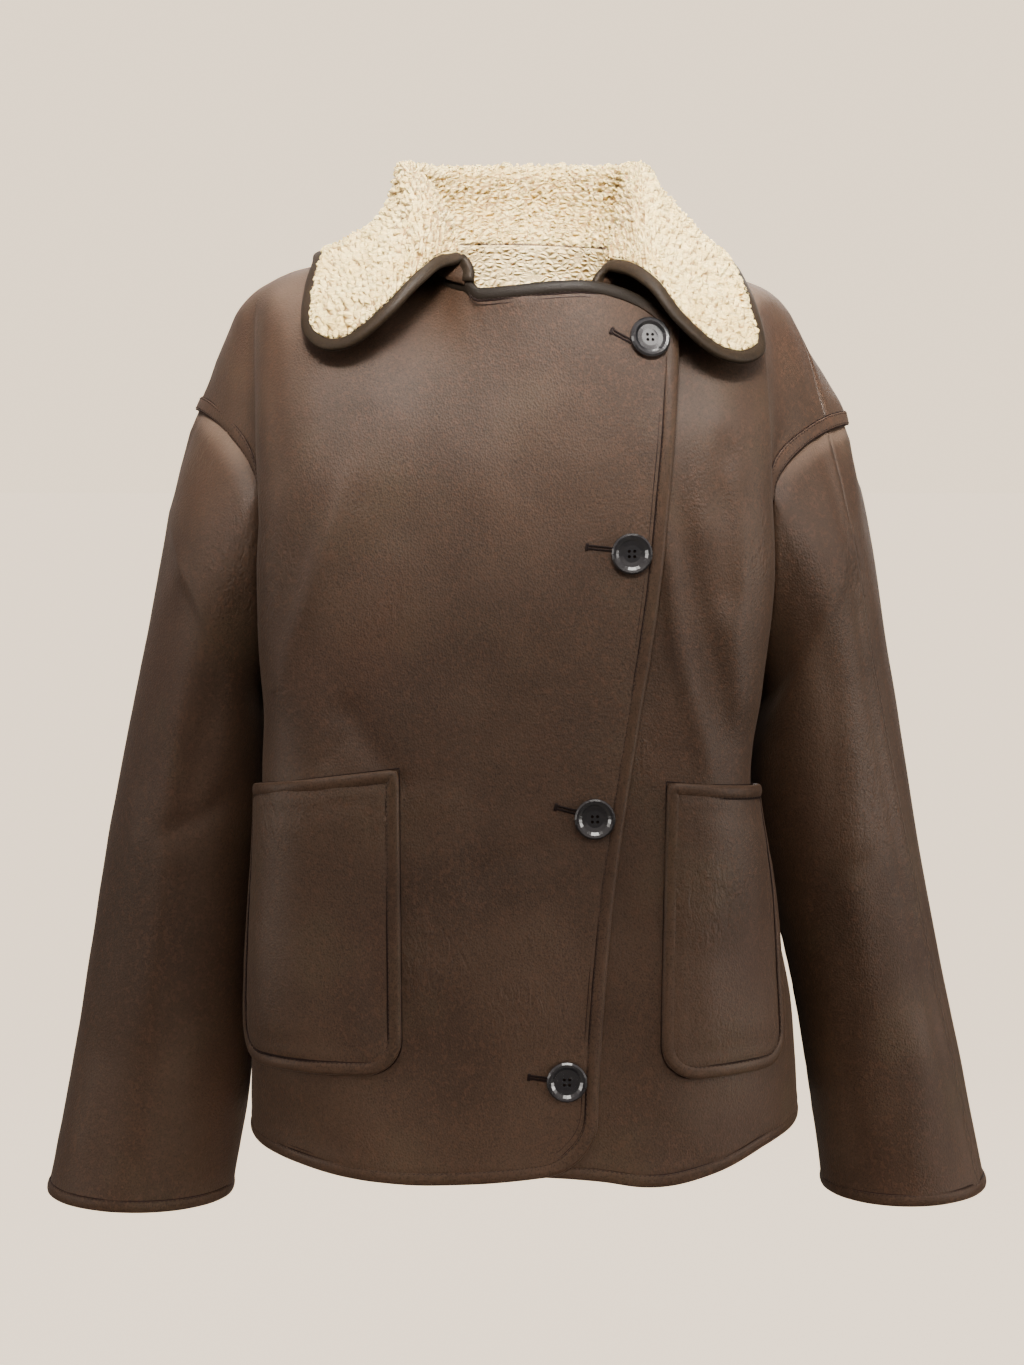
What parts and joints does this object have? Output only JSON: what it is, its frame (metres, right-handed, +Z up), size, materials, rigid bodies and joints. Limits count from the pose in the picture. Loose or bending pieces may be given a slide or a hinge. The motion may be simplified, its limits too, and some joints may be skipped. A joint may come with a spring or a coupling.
{
  "type": "sherpa lined jacket",
  "caption": "Boxy jacket of bonded sherpa cloth with a slanted buttoned front, a big turned-over fleece collar, drop shoulders, patch pockets and bound edges.",
  "frame": {"origin": "middle of the neck at shoulder height, where the wearer carries the jacket", "axes": "+Z up, the front faces -Y, +X is the wearer's left"},
  "size_m": [0.7095, 0.2647, 0.7757],
  "materials": {
    "suede": "matte suede-like cloth with a slight leather sheen",
    "binding": "matte folded strip",
    "pile": "curly cream sherpa pile",
    "button": "glossy black horn look"
  },
  "bodies": {
    "root": {"front_right": "suede", "front_left": "suede", "back": "suede", "sleeve_right_front": "suede", "sleeve_right_back": "suede", "sleeve_left_front": "suede", "sleeve_left_back": "suede", "pocket_right": "suede", "pocket_left": "suede", "armhole_band_right": "binding", "armhole_band_left": "binding", "binding_collar": "binding", "binding_front_right": "binding", "binding_front_left": "binding", "binding_back": "binding", "binding_cuff_right": "binding", "binding_cuff_left": "binding", "binding_pocket_right": "binding", "binding_pocket_left": "binding", "collar": "pile", "button_1": "button", "button_2": "button", "button_3": "button", "button_4": "button"}
  },
  "joints": []
}
